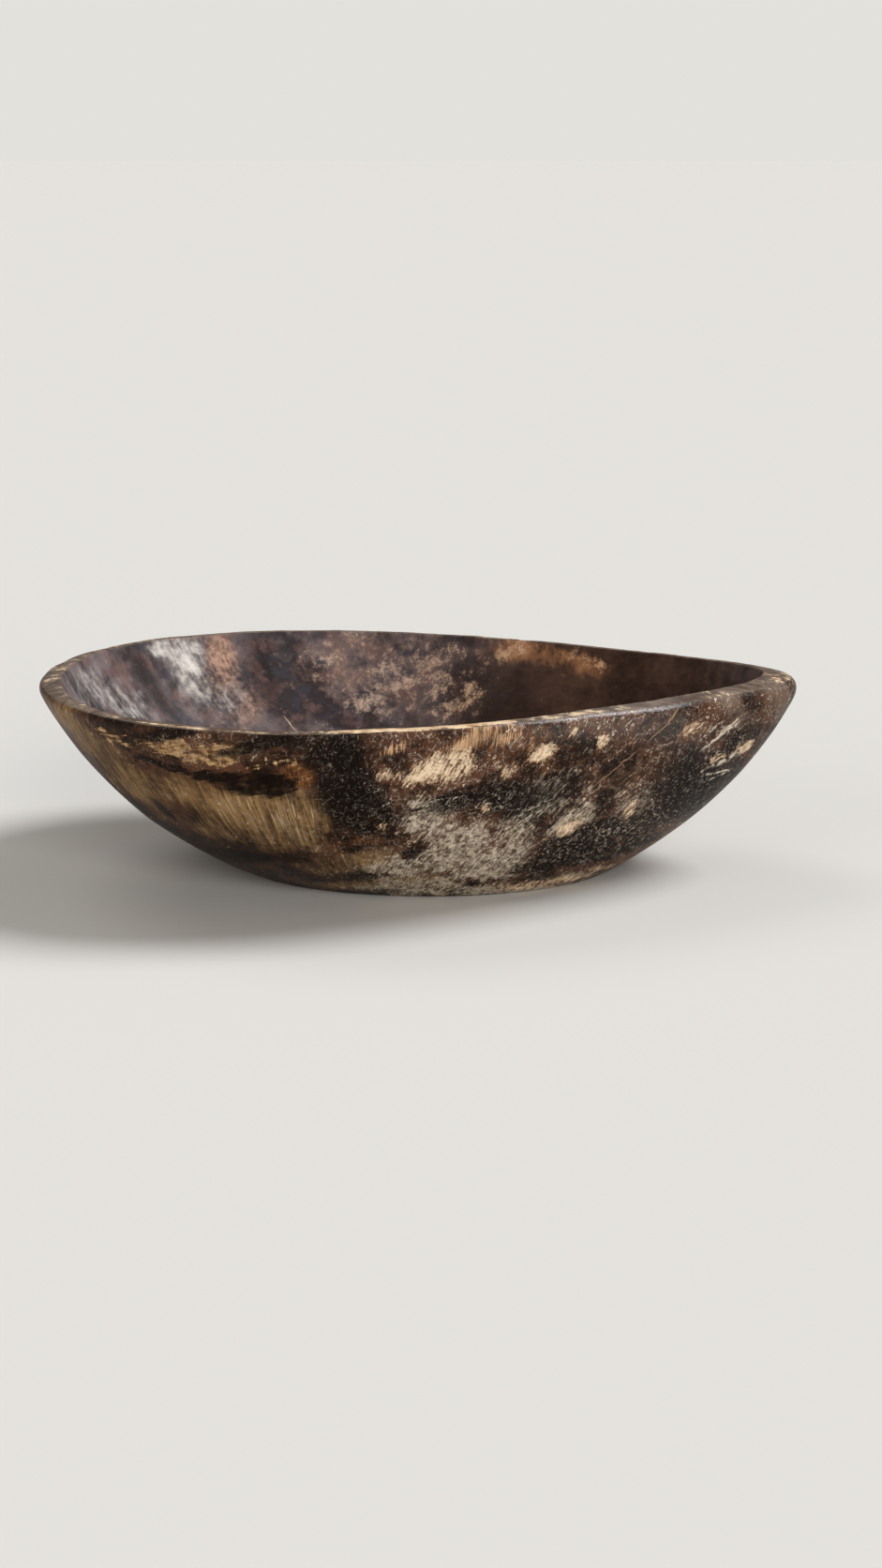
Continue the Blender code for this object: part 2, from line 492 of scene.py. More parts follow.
# The stage and the light from all round.
FLOOR_REACH = 80.0  # half the floor's width
FLOOR_COLOUR = srgb(212, 209, 204)
FLOOR_ROUGHNESS = 0.8
BACKGROUND = srgb(227, 225, 220)  # as the lit floor looks
SKY_COLOUR = srgb(235, 235, 235)
SKY_LEVEL = 0.25
COOL = (0.95, 0.97, 1.0)
WARM = (1.0, 0.98, 0.95)
# The lamps: name, side that the light comes from, level in W/m2, spread in degrees, colour.
LAMPS = (
    ("key", (1.25, 0.45, 1.5), 2.85, 28, COOL),
    ("front", (0.7, -2.2, 0.75), 1.62, 28, WARM),
    ("fill", (-1.6, -1.6, 0.85), 0.44, 33, WARM),
    ("rear", (-1.2, 1.6, 2.35), 0.5, 30, WARM),
)


def smooth(low, high, value):
    """0 below low, 1 above high, with an eased step between."""
    share = np.clip((value - low) / (high - low), 0, 1)
    return share * share * (3 - 2 * share)


def quad_copy(node):
    """The node's mesh, with triangles joined into quads and its floor's flat middle as one face."""
    mesh = bmesh.new()
    mesh.from_mesh(node.data)
    bmesh.ops.remove_doubles(mesh, verts=mesh.verts, dist=WELD)
    mesh.normal_update()
    middle = [face for face in mesh.faces if face.normal.z > LEVEL_NORMAL]
    bmesh.ops.dissolve_faces(mesh, faces=middle)
    triangles = [face for face in mesh.faces if len(face.verts) == 3]
    bmesh.ops.join_triangles(
        mesh,
        faces=triangles,
        angle_face_threshold=math.radians(JOIN_ANGLE),
        angle_shape_threshold=math.radians(JOIN_ANGLE),
        topology_influence=1.0,
    )
    data = bpy.data.meshes.new("bowl")
    mesh.to_mesh(data)
    mesh.free()
    return data


def divided(data):
    """The mesh after Blender's subdivision surface."""
    rough = bpy.data.objects.new("rough", data)
    bpy.context.scene.collection.objects.link(rough)
    divide = rough.modifiers.new("divide", "SUBSURF")
    divide.levels = DIVISIONS
    divide.render_levels = DIVISIONS
    divide.use_limit_surface = False
    depsgraph = bpy.context.evaluated_depsgraph_get()
    fine = bpy.data.meshes.new_from_object(rough.evaluated_get(depsgraph))
    bpy.data.objects.remove(rough)
    bpy.data.meshes.remove(data)
    fine.name = "bowl"
    return fine


class Surface:
    """Where each point of the fine mesh lies on the bowl."""

    def __init__(self, data):
        count = len(data.vertices)
        place = np.empty(count * 3, np.float32)
        normal = np.empty(count * 3, np.float32)
        data.vertices.foreach_get("co", place)
        data.vertex_normals.foreach_get("vector", normal)
        self.place = place.reshape(-1, 3).astype(float)
        self.normal = normal.reshape(-1, 3).astype(float)

        level = self.place[:, :2] - np.array(CENTRE[:2])
        self.radius = np.hypot(level[:, 0], level[:, 1])
        self.angle = np.arctan2(level[:, 1], level[:, 0])
        self.height = self.place[:, 2]
        self.climb = self.radius + HEIGHT_SHARE * self.height

        up = self.normal[:, 2]
        outward = (self.normal[:, :2] * level).sum(1) / np.maximum(self.radius, WELD)
        near_lip = self.near_rim(LIP_DEPTHS)
        high = near_lip > 0.5

        # The hollow, the flat of the foot, the lip with its edges, and the flat of the lip.
        self.hollow = (up > UPRIGHT) & ((outward < 0) | (self.height < RIM_TOP / 2))
        self.under = (up < -FOOT_FLAT_TILT) & (self.height < FOOT_FLAT_TOP)
        self.lip = smooth(*LIP_EDGE_TILT, up) * near_lip
        self.flat = smooth(*LIP_FLAT_TILT, up)

        turned = (up > LIP_EDGE_TILT[0]) & (up < LIP_EDGE_TILT[1]) & high
        inner = self.edge(turned & (outward < 0))
        outer = self.edge(turned & (outward > 0))
        self.across_lip = np.clip((self.radius - inner) / (outer - inner), 0, 1)

        # The way up the outer wall goes on over the lip, where the radius gets smaller again.
        widest = self.edge((np.abs(up) < UPRIGHT) & (outward > 0) & high)
        over = np.where(up > 0, 2 * np.maximum(widest - self.radius, 0), 0)
        self.along = self.climb + over
        foot = (-up > FOOT_EDGE_TILT[0]) & (-up < FOOT_EDGE_TILT[1]) & (self.height < FOOT_EDGE_TOP)
        self.above_foot = self.along - self.edge(foot)

    def near_rim(self, depths):
        """From 0 at the first depth under the top of the rim to 1 at the second."""
        start, end = depths
        return smooth(RIM_TOP - start, RIM_TOP - end, self.height)

    def edge(self, chosen):
        """Radius of the edge that the chosen points follow, at the angle of every point."""
        order = np.argsort(self.angle[chosen])
        return np.interp(self.angle, self.angle[chosen][order], self.radius[chosen][order], period=TURN)

    def turn(self, angle):
        """How far round each point is from an angle in degrees, in radians."""
        return (self.angle - math.radians(angle) + math.pi) % TURN - math.pi

    def nearest(self, angle, height, hollow):
        """The point of one side that lies nearest to an angle and a height."""
        off = np.hypot(self.turn(angle) * self.radius, self.height - height * MM)
        return np.argmin(np.where(self.hollow == hollow, off, np.inf))

    def patches(self, listed, hollow):
        """How strongly each point lies in any of the listed patches of one side, from 0 to 1."""
        bare = np.ones(len(self.height))
        for angle, height, half_width, half_height, lean, strength in listed:
            middle = self.nearest(angle, height, hollow)
            across = self.turn(angle) * (self.radius + self.radius[middle]) / 2
            rise = self.climb - self.climb[middle]
            slant = math.radians(lean)
            along = across * math.cos(slant) + rise * math.sin(slant)
            over = rise * math.cos(slant) - across * math.sin(slant)
            far = (along / (half_width * MM)) ** 2 + (over / (half_height * MM)) ** 2
            bare *= 1 - strength * np.exp(-(far**PATCH_STEEPNESS) * PATCH_FADE)
        return np.where(self.hollow == hollow, 1 - bare, 0)

    def lengths(self, listed):
        """How strongly each point lies in any of the listed lengths of the lip, from 0 to 1."""
        bare = np.ones(len(self.height))
        for angle, half_width, strength in listed:
            far = self.turn(angle) * self.radius / (half_width * MM)
            bare *= 1 - strength * np.exp(-(far**2) * PATCH_FADE)
        return 1 - bare

    def on_map(self, angle, height, hollow):
        """The place of a point of one side in the flat map of the walls."""
        point = self.nearest(angle, height, hollow)
        across = math.radians((angle - MAP_SEAM) % 360) * MAP_RADIUS
        along = self.climb[point] + HOLLOW_SHIFT if hollow else self.along[point]
        return Vector((across, along, 0))


def hewn(surface):
    """How far tools and wear have moved each point along its normal."""
    offset = np.empty(len(surface.height))
    for index, place in enumerate(surface.place):
        wave = noise.noise(Vector(place) * WAVES)
        cut = noise.voronoi(Vector(place * FACETS))[0][0]
        offset[index] = WAVE_DEPTH * wave + FACET_DEPTH * (cut * cut - FACET_MIDDLE)
    thinned = 1 - (1 - MARKS_AT_LIP) * surface.near_rim(MARKS_DEPTHS)
    return offset * thinned * smooth(*MARKS_START, surface.height)


def lip_sway(surface):
    """How far each point near the lip stands above or below a level rim."""
    sway = np.zeros(len(surface.height))
    for index, angle in enumerate(surface.angle):
        ring = Vector((math.cos(angle), math.sin(angle), 0))
        for closeness, start, rise in LIP_WAVES:
            sway[index] += rise * noise.noise(ring * closeness + Vector((0, 0, start)))
    return sway * surface.near_rim(SWAY_DEPTHS)


def shape(data):
    """Moves the fine mesh to a hand-cut form and returns its surface."""
    surface = Surface(data)
    moved = surface.place + surface.normal * hewn(surface)[:, None]
    moved[:, 2] += lip_sway(surface)
    data.vertices.foreach_set("co", moved.astype(np.float32).ravel())
    data.update()
    return Surface(data)


def paint(data, name, values):
    """Writes one value for each point, which the material reads by that name."""
    data.attributes.new(name, "FLOAT", "POINT").data.foreach_set("value", values.astype(np.float32))


def hidden(rng, count, angles, heights, half_widths, strengths):
    """Patches of the same kinds on the sides that the photograph doesn't show, within these ranges."""
    made = []
    for _ in range(count):
        half_width = rng.uniform(*half_widths)
        made.append(
            (
                rng.uniform(*angles),
                rng.uniform(*heights),
                half_width,
                half_width * rng.uniform(*HIDDEN_FLATNESS),
                rng.uniform(*HIDDEN_LEAN),
                rng.uniform(*strengths),
            )
        )
    return tuple(made)


def wear(data, surface):
    """Writes each kind of wear onto the mesh, with the painted shadow, sheen and light among it."""
    rng = np.random.default_rng(SEED)
    outside = {
        "cream": CREAM_OUTSIDE + hidden(rng, 34, BACK, WALL, (4, 15), (0.5, 1.0)),
        "ash": ASH_OUTSIDE + hidden(rng, 9, BACK, WALL, (10, 26), (0.5, 0.9)),
        "gold": GOLD_OUTSIDE + hidden(rng, 9, BACK, WALL, (20, 46), (0.6, 1.0)),
        "band": BAND_OUTSIDE + hidden(rng, 5, BACK, (70, 90), (10, 22), (0.6, 1.0)),
        "soot_and_shade": SOOT_AND_SHADE_OUTSIDE + hidden(rng, 16, BACK, WALL, (10, 36), (0.6, 1.0)),
        "scorch": SCORCH_OUTSIDE + hidden(rng, 6, BACK, WALL, (8, 20), (0.7, 1.0)),
        "rust": RUST_OUTSIDE + hidden(rng, 10, BACK, WALL, (8, 26), (0.5, 1.0)),
        "bars": BARS_OUTSIDE + hidden(rng, 4, (50, 190), (84, 92), (8, 18), (0.4, 0.8)),
        "dust_and_sheen": DUST_AND_SHEEN_OUTSIDE + hidden(rng, 5, BACK, WALL, (14, 30), (0.4, 0.8)),
        "flecked": FLECKED_OUTSIDE + hidden(rng, 8, BACK, WALL, (16, 40), (0.4, 0.8)),
        "calm": CALM_OUTSIDE,
        "gloss": GLOSS_OUTSIDE,
    }
    inside = {
        "ash": ASH_INSIDE + hidden(rng, 6, FRONT, DEEP, (18, 40), (0.2, 0.4)),
        "cream": CREAM_INSIDE + hidden(rng, 14, FRONT, DEEP, (6, 18), (0.25, 0.55)),
        "rust": RUST_INSIDE + hidden(rng, 8, FRONT, DEEP, (10, 30), (0.3, 0.6)),
        "soot_and_shade": SOOT_INSIDE + hidden(rng, 8, FRONT, DEEP, (14, 34), (0.4, 0.8)),
        "umber": UMBER_INSIDE,
    }
    for name in outside | inside:
        outer = surface.patches(outside.get(name, ()), False)
        inner = surface.patches(inside.get(name, ()), True)
        paint(data, name, outer + inner)
    paint(data, "lip", surface.lip)
    flat = surface.lengths(LIP_PALE) * surface.flat
    line = surface.lengths(LINE_PALE) * surface.flat * smooth(*OUTER_HALF, surface.across_lip)
    edge = surface.lengths(EDGE_PALE) * surface.lip
    paint(data, "rubbed", np.maximum(np.maximum(flat, line), edge))
    slant = 0.5 + 0.5 * np.cos(surface.turn(SLANT_MIDDLE))
    paint(data, "slant", smooth(*SLANT_STEP, slant))
    paint(data, "hollow", np.where(surface.hollow, 1.0, 0.0))
    paint(data, "floor", 1 - smooth(*FLOOR_ENDS, surface.height))


def corner_points(data):
    """The point of each corner of each face, and the first point of that face."""
    corners = np.empty(len(data.loops), np.int32)
    data.loops.foreach_get("vertex_index", corners)
    starts = np.empty(len(data.polygons), np.int32)
    totals = np.empty(len(data.polygons), np.int32)
    data.polygons.foreach_get("loop_start", starts)
    data.polygons.foreach_get("loop_total", totals)
    return corners, np.repeat(corners[starts], totals)


def unrolled(surface, corners, firsts, seam):
    """How far each corner, and the first of its face, is round from a seam, with no jump in a face."""
    turn = (surface.angle - math.radians(seam)) % TURN
    first = turn[firsts]
    turn = turn[corners]
    turn = np.where(turn - first > math.pi, turn - TURN, turn)
    return np.where(first - turn > math.pi, turn + TURN, turn), first


def add_map(data, name, across, along):
    values = np.stack([across, along], 1).astype(np.float32)
    data.uv_layers.new(name=name).data.foreach_set("uv", values.ravel())


def flat_map(data, surface):
    """A UV map in metres: walls unrolled round the bowl, foot and floor laid flat beside them."""
    corners, firsts = corner_points(data)
    turn, _ = unrolled(surface, corners, firsts, MAP_SEAM)
    hollow = surface.hollow[firsts]
    level = surface.radius[firsts] < LEVEL_RADIUS
    across = np.where(level, surface.place[corners, 0] + LEVEL_SHIFT, turn * MAP_RADIUS)
    along = np.where(hollow, surface.climb[corners] + HOLLOW_SHIFT, surface.along[corners])
    flat = surface.place[corners, 1] + np.where(hollow, HOLLOW_SHIFT, 0.0)
    add_map(data, "surface", across, np.where(level, flat, along))


def bake_map(data, surface):
    """A UV map without overlaps: two strips of outer wall and lip over discs of hollow and foot."""
    corners, firsts = corner_points(data)
    turn, first = unrolled(surface, corners, firsts, 0)
    second = first > math.pi
    hollow = surface.hollow[firsts]
    flat = hollow | surface.under[firsts]
    rise = surface.above_foot[corners] / surface.above_foot[corners][~flat].max()
    across = BAKE_MARGIN + (turn / math.pi - second) * (1 - 2 * BAKE_MARGIN)
    along = BAKE_STRIP * (2 + second) + BAKE_MARGIN + (BAKE_STRIP - 2 * BAKE_MARGIN) * rise

    dished = (surface.climb - surface.climb[surface.hollow].min())[corners]
    away = np.where(hollow, dished, surface.radius[corners])
    side = hollow & (np.abs(surface.turn(90))[corners] < DISC_SIDE)
    away *= (BAKE_STRIP - BAKE_MARGIN) / dished[side].max()
    middle = np.where(hollow, HOLLOW_DISC, FOOT_DISC)
    across = np.where(flat, middle + away * np.cos(surface.angle[corners]), across)
    along = np.where(flat, BAKE_STRIP + away * np.sin(surface.angle[corners]), along)
    add_map(data, "OFBake", across, along)


class Graph:
    """Short words for shader nodes. A value may be a number, a colour or another node's output."""

    def __init__(self, material):
        material.use_nodes = True
        self.tree = material.node_tree
        self.shader = self.tree.nodes["Principled BSDF"]

    def node(self, kind, inputs, **settings):
        made = self.tree.nodes.new(kind)
        for name, value in settings.items():
            setattr(made, name, value)
        for key, value in inputs.items():
            self.feed(made.inputs[key], value)
        return made

    def feed(self, socket, value):
        if isinstance(value, bpy.types.NodeSocket):
            self.tree.links.new(value, socket)
        else:
            socket.default_value = value

    def attribute(self, name):
        return self.node("ShaderNodeAttribute", {}, attribute_name=name).outputs["Fac"]

    def math(self, operation, *values):
        return self.node("ShaderNodeMath", dict(enumerate(values)), operation=operation).outputs[0]

    def joined(self, operation, values):
        return reduce(lambda first, second: self.math(operation, first, second), values)

    def total(self, *values):
        return self.joined("ADD", values)

    def product(self, *values):
        return self.joined("MULTIPLY", values)

    def most(self, *values):
        return self.joined("MAXIMUM", values)

    def rest(self, share):
        return self.math("SUBTRACT", 1.0, share)

    def between(self, low, high, share):
        """The value that lies a share of the way from low to high."""
        return self.math("MULTIPLY_ADD", share, high - low, low)

    def swing(self, value, amount):
        """A value round a half, as a swing of that amount round nought."""
        return self.between(-amount / 2, amount / 2, value)

    def step(self, low, high, value, start=0.0, end=1.0):
        """The start below low, the end above high, with an eased step between."""
        inputs = {"Value": value, "From Min": low, "From Max": high, "To Min": start, "To Max": end}
        return self.node("ShaderNodeMapRange", inputs, interpolation_type="SMOOTHSTEP").outputs[0]

    def fade(self, low, high, value):
        return self.step(low, high, value, 1.0, 0.0)

    def mix(self, share, first, second):
        made = self.node("ShaderNodeMix", {0: share, 6: first, 7: second}, data_type="RGBA")
        return made.outputs[2]

    def scaled(self, place, scale, shift):
        inputs = {0: place, 1: scale, 2: shift}
        return self.node("ShaderNodeVectorMath", inputs, operation="MULTIPLY_ADD").outputs[0]

    def moved(self, place, shift):
        return self.scaled(place, (1, 1, 1), shift)

    def turned(self, place, degrees):
        inputs = {"Vector": place, "Angle": math.radians(degrees)}
        return self.node("ShaderNodeVectorRotate", inputs, rotation_type="Z_AXIS").outputs[0]

    def noise(self, place, scale, detail, roughness=0.5, distortion=0.0):
        inputs = {
            "Vector": place,
            "Scale": scale,
            "Detail": detail,
            "Roughness": roughness,
            "Distortion": distortion,
        }
        return self.node("ShaderNodeTexNoise", inputs).outputs["Fac"]

    def drawn_out(self, place, scale, detail, roughness, distortion, shift=(0, 0, 0)):
        """Noise with a scale of its own along each axis."""
        return self.noise(self.scaled(place, scale, shift), 1.0, detail, roughness, distortion)

    def strokes(self, place, scale, shift=(0, 0, 0)):
        """Short strokes as long and as wide as the scale makes them: 1 on a stroke and 0 off it."""
        return self.step(0.66, 0.72, self.drawn_out(place, scale, 1.0, 0.5, 0.4, shift))

    def loops(self, place, scale):
        """Fine curly lines: 1 on a line and 0 off it."""
        level = self.math("SUBTRACT", self.noise(place, scale, 0.0, 0.5, 1.1), 0.5)
        lines = self.fade(0.008, 0.030, self.math("ABSOLUTE", level))
        kept = self.step(0.48, 0.60, self.noise(place, scale * 1.3, 1.0))
        return self.product(lines, kept)

    def scratch(self, place, start, end, width):
        """One scratch from start to end, thin at both ends."""
        stroke = end - start
        centred = self.moved(place, -(start + end) / 2)
        aligned = self.turned(centred, -math.degrees(math.atan2(stroke.y, stroke.x)))
        parts = self.node("ShaderNodeSeparateXYZ", {0: aligned})
        along = self.math("ABSOLUTE", parts.outputs[0])
        across = self.math("ABSOLUTE", parts.outputs[1])
        tapered = self.fade(stroke.length * 0.2, stroke.length * 0.5, along)
        return self.product(self.fade(width * 0.2, width * 0.6, across), tapered)

    def drawing(self, place, surface, listed, hollow=False):
        """All the listed scratches of one side."""
        made = []
        for start_angle, start_height, end_angle, end_height, width in listed:
            start = surface.on_map(start_angle, start_height, hollow)
            end = surface.on_map(end_angle, end_height, hollow)
            made.append(self.scratch(place, start, end, width * MM))
        return self.most(*made)


class Fields:
    """The noises that the wood's colours are mixed by.

    The plain ones lie round a half. Ragged, soft, layered and cloudy are sums that lie round nought.
    """

    def __init__(self, g):
        self.graph = g
        self.here = g.node("ShaderNodeTexCoord", {}).outputs["Object"]
        self.wall = g.node("ShaderNodeUVMap", {}, uv_map="surface").outputs["UV"]
        self.slanted = g.turned(self.wall, -SLANT)
        upright = g.turned(self.wall, FIBRE_LEAN)
        wobble = g.node("ShaderNodeTexNoise", {"Vector": self.wall, "Scale": WOBBLES, "Detail": 2.0})
        self.wavy = g.scaled(wobble.outputs["Color"], WOBBLE, self.wall)

        self.cloud = g.noise(self.here, 24, 3, 0.55)
        self.mottle = g.noise(self.here, 75, 6, 0.65)
        self.tint = g.noise(g.moved(self.here, (6, 2, 9)), 62, 5, 0.65)
        self.freckle = g.noise(self.here, 170, 4, 0.6)
        self.fine = g.noise(self.here, 330, 3, 0.6)
        self.speck = g.noise(self.here, 800, 1, 0.5)
        self.curl = g.noise(self.here, 360, 2, 0.5, 1.6)
        self.grain = g.drawn_out(self.here, (30, 360, 360), 4, 0.6, 0.5)
        self.brush = g.drawn_out(self.slanted, (170, 760, 1), 3, 0.6, 0.8)
        self.fibre = g.drawn_out(upright, (900, 75, 1), 3, 0.6, 0.9)
        self.hair = g.drawn_out(upright, (1000, 48, 1), 2, 0.5, 0.6, (3, 5, 0))
        self.strand = g.drawn_out(upright, (380, 32, 1), 3, 0.55, 0.7, (8, 2, 0))
        self.teeth = g.drawn_out(upright, (1400, 70, 1), 2, 0.5, 0.4, (1, 9, 0))
        self.level = g.drawn_out(self.wall, (80, 620, 1), 3, 0.6, 0.5)
        self.tangle = g.most(g.loops(self.here, 210), g.loops(g.moved(self.here, (4, 7, 1)), 290))

        self.calm = g.attribute("calm")
        self.ragged = self.stirred(mottle=1.8, brush=1.9, fine=0.9, speck=0.6)
        loose = self.stirred(mottle=1.3, fibre=0.6, fine=0.5)
        self.soft = g.product(loose, g.between(1.0, 0.5, self.calm))
        self.layered = self.stirred(level=1.4, mottle=0.8, fine=0.5)
        self.cloudy = self.stirred(mottle=1.1, freckle=0.7, strand=0.3, fine=0.4)

    def stirred(self, *values, **amounts):
        """The sum of the values and of swings of the named noises."""
        swings = [self.graph.swing(getattr(self, name), amount) for name, amount in amounts.items()]
        return self.graph.total(*values, *swings)


def outer_wall(g, f):
    """Colour of the outer wall without its scratches, and how pale it is worn."""
    shade = f.stirred(f.cloud, mottle=0.9, grain=0.4)
    colour = g.mix(g.step(0.36, 0.64, shade), DARK, BROWN)

    rust = g.step(0.30, 0.85, g.total(g.attribute("rust"), f.soft))
    lit = g.step(0.35, 0.65, f.stirred(f.fine, fibre=0.8))
    colour = g.mix(g.product(rust, 0.85), colour, g.mix(lit, RUST_DARK, RUST))

    # Tan wood; one patch of it, low on the near left, is also painted light.
    golden = g.attribute("gold")
    gold = g.step(0.25, 0.70, g.total(golden, f.soft))
    lit = f.stirred(g.product(golden, 0.5), strand=1.3, cloud=0.8, mottle=0.7, fine=0.4)
    ground = g.mix(g.step(0.05, 0.75, lit), OLIVE, GOLD)
    hairs = g.product(g.step(0.57, 0.68, f.hair), g.step(0.6, 1.0, golden))
    ground = g.mix(g.product(hairs, 0.75), ground, STRAW)
    colour = g.mix(g.product(gold, 0.92), colour, ground)

    torn = f.stirred(g.attribute("band"), g.product(f.layered, 0.8), freckle=1.7, fibre=1.0)
    lit = g.step(0.28, 0.82, f.stirred(f.level, fine=0.8, freckle=0.9))
    colour = g.mix(g.step(0.44, 0.80, torn), colour, g.mix(lit, BAND_DARK, BAND))

    ash = f.stirred(g.attribute("ash"), g.product(f.ragged, 0.8), mottle=0.8)
    ash = g.step(0.32, 0.80, ash)
    lit = g.step(0.20, 0.80, f.stirred(f.fine, brush=0.9, fibre=0.5, curl=0.9, freckle=0.7))
    colour = g.mix(g.product(ash, 0.92), colour, g.mix(lit, ASH_DARK, ASH))

    # Black soot, and low on the near left a painted shadow.
    soot_and_shade = g.step(0.32, 0.68, g.total(g.attribute("soot_and_shade"), f.soft))
    colour = g.mix(g.product(soot_and_shade, 0.9), colour, BLACK)
    scorch = g.step(0.38, 0.62, g.total(g.attribute("scorch"), g.product(f.layered, 0.75)))
    whole = g.between(0.55, 0.95, g.step(0.32, 0.52, f.stirred(f.freckle, level=0.6)))
    colour = g.mix(g.product(scorch, whole), colour, BLACK)

    # A grey haze of dust, and near the lip round the narrow end a painted sheen.
    dust_and_sheen = g.step(0.25, 0.95, g.total(g.attribute("dust_and_sheen"), g.product(f.soft, 0.8)))
    colour = g.mix(g.product(dust_and_sheen, 0.6), colour, DUST_AND_SHEEN_GREY)

    barred = g.attribute("bars")
    bars = g.step(0.30, 0.74, f.stirred(g.product(barred, 0.70), teeth=1.9, mottle=0.6))
    bars = g.product(bars, g.step(0.12, 0.50, barred))
    colour = g.mix(bars, colour, g.mix(g.step(0.4, 0.6, f.mottle), TAN, BARE))

    worn = g.total(g.attribute("cream"), g.product(f.ragged, 0.85))
    cream = g.step(0.42, 0.78, worn)
    lit = g.step(0.10, 0.62, f.stirred(f.fine, curl=0.9, brush=0.7))
    lit = g.product(lit, g.step(0.40, 1.05, worn))
    colour = g.mix(cream, colour, g.mix(lit, TAN, CREAM))
    return colour, g.most(cream, ash)


def inner_wall(g, f):
    """Colour of the hollow, where all wear has soft edges."""
    umber = g.attribute("umber")
    shade = g.step(0.32, 0.70, f.stirred(f.cloud, mottle=0.9, freckle=0.4))
    smoky = g.mix(g.product(g.step(0.50, 0.64, f.tint), 0.6), g.mix(shade, DUSK, SMOKE), MAUVE)
    smoky = g.mix(g.product(g.fade(0.36, 0.48, f.tint), 0.5), smoky, SLATE)
    deep = g.step(0.26, 0.82, f.stirred(f.cloud, mottle=0.6, grain=0.5))
    colour = g.mix(umber, smoky, g.mix(deep, UMBER, UMBER_LIGHT))

    streaks = g.step(0.32, 0.72, f.stirred(f.cloud, grain=0.9, mottle=0.6))
    ground = g.mix(streaks, FLOOR_DARK, FLOOR_PALE)
    one_way = g.strokes(g.turned(f.here, 24), (60, 800, 60))
    other_way = g.strokes(g.turned(f.here, -38), (80, 900, 80))
    scratched = g.product(g.most(one_way, other_way), g.step(0.40, 0.60, f.cloud))
    ground = g.mix(g.product(scratched, 0.4), ground, CREAM_INNER)
    colour = g.mix(g.product(g.attribute("floor"), 0.85), colour, ground)

    rust = g.step(0.20, 0.95, g.total(g.attribute("rust"), f.cloudy))
    lit = g.step(0.35, 0.65, f.stirred(f.fine, fibre=0.8))
    rusty = g.mix(umber, g.mix(lit, RUST_INNER_DARK, RUST_INNER), ORANGE)
    colour = g.mix(g.product(rust, 0.85), colour, rusty)

    ashen = g.attribute("ash")
    ash = g.step(0.20, 0.95, g.total(ashen, f.cloudy))
    lit = g.step(0.22, 0.78, f.stirred(f.mottle, strand=0.6, freckle=0.7))
    lit = g.product(lit, g.step(0.15, 0.90, ashen))
    colour = g.mix(g.product(ash, 0.9), colour, g.mix(lit, ASH_INNER_DARK, ASH_INNER))

    soot_and_shade = g.step(0.25, 0.85, g.total(g.attribute("soot_and_shade"), f.cloudy))
    colour = g.mix(g.product(soot_and_shade, 0.75), colour, SOOT_INNER)

    creamy = g.product(g.attribute("cream"), 0.95)
    spots = g.step(0.35, 1.12, f.stirred(creamy, fine=1.0, speck=0.9, freckle=1.6, mottle=1.0))
    return g.mix(g.product(spots, 0.88), colour, g.mix(umber, CREAM_INNER, ORANGE_PALE))


def lip_wood(g, f):
    """Colour of the lip: grey, and pale where it is rubbed."""
    streaks = g.step(0.30, 0.70, f.stirred(f.mottle, grain=0.7))
    old = g.mix(streaks, LIP_DARK, LIP_GREY)
    rubbed = g.step(0.40, 0.80, f.stirred(g.attribute("rubbed"), mottle=1.9, fine=1.2, grain=0.8))
    lit = g.step(0.30, 0.62, f.stirred(f.freckle, grain=0.8, mottle=0.6))
    return g.mix(g.product(rubbed, 0.92), old, g.mix(lit, LIP_TAN, LIP_CREAM))


def flecks(g, f):
    """Strokes that stand upright on the left and slant on the right, and level ones, dots and curls."""
    slant = g.attribute("slant")
    upright = g.product(g.strokes(f.wall, (940, 200, 1)), g.rest(slant))
    slanting = g.product(g.strokes(f.slanted, (190, 920, 1)), slant)
    level = g.product(g.strokes(f.wall, (220, 1000, 1), (5, 3, 0)), 0.5)
    dots = g.strokes(f.here, (560, 560, 560))
    return g.most(upright, slanting, level, dots, g.product(f.tangle, 0.55))


def scratched_wall(g, f, surface):
    """Colour of the outer wall with its scratches and cracks, their relief, and how pale it is worn."""
    colour, light = outer_wall(g, f)
    marks = flecks(g, f)
    clusters = g.step(0.44, 0.64, f.stirred(f.cloud, mottle=1.2))
    dense = g.product(clusters, g.between(0.4, 1.0, g.attribute("flecked")))
    pale = g.product(marks, g.between(0.25, 1.0, dense), g.rest(f.calm))
    streaks = g.product(g.drawing(f.wavy, surface, PALE_OUTSIDE), g.step(0.40, 0.56, f.fine))
    colour = g.mix(g.most(pale, g.product(streaks, 0.85)), colour, PALE)

    slanting = g.strokes(f.slanted, (230, 900, 1), (9, 4, 0))
    upright = g.strokes(f.wall, (900, 260, 1), (2, 7, 0))
    cuts = g.most(slanting, upright)
    colour = g.mix(g.product(g.most(cuts, f.tangle), light, 0.6), colour, DARK)
    colour = g.mix(g.product(g.drawing(f.wavy, surface, CHECKS), 0.6), colour, TAN)
    cracks = g.drawing(f.wavy, surface, CRACKS)
    colour = g.mix(g.product(cracks, 0.9), colour, BLACK)
    relief = g.total(g.product(marks, -0.4), g.product(cuts, -0.3), g.product(cracks, -1.0))
    return colour, relief, light


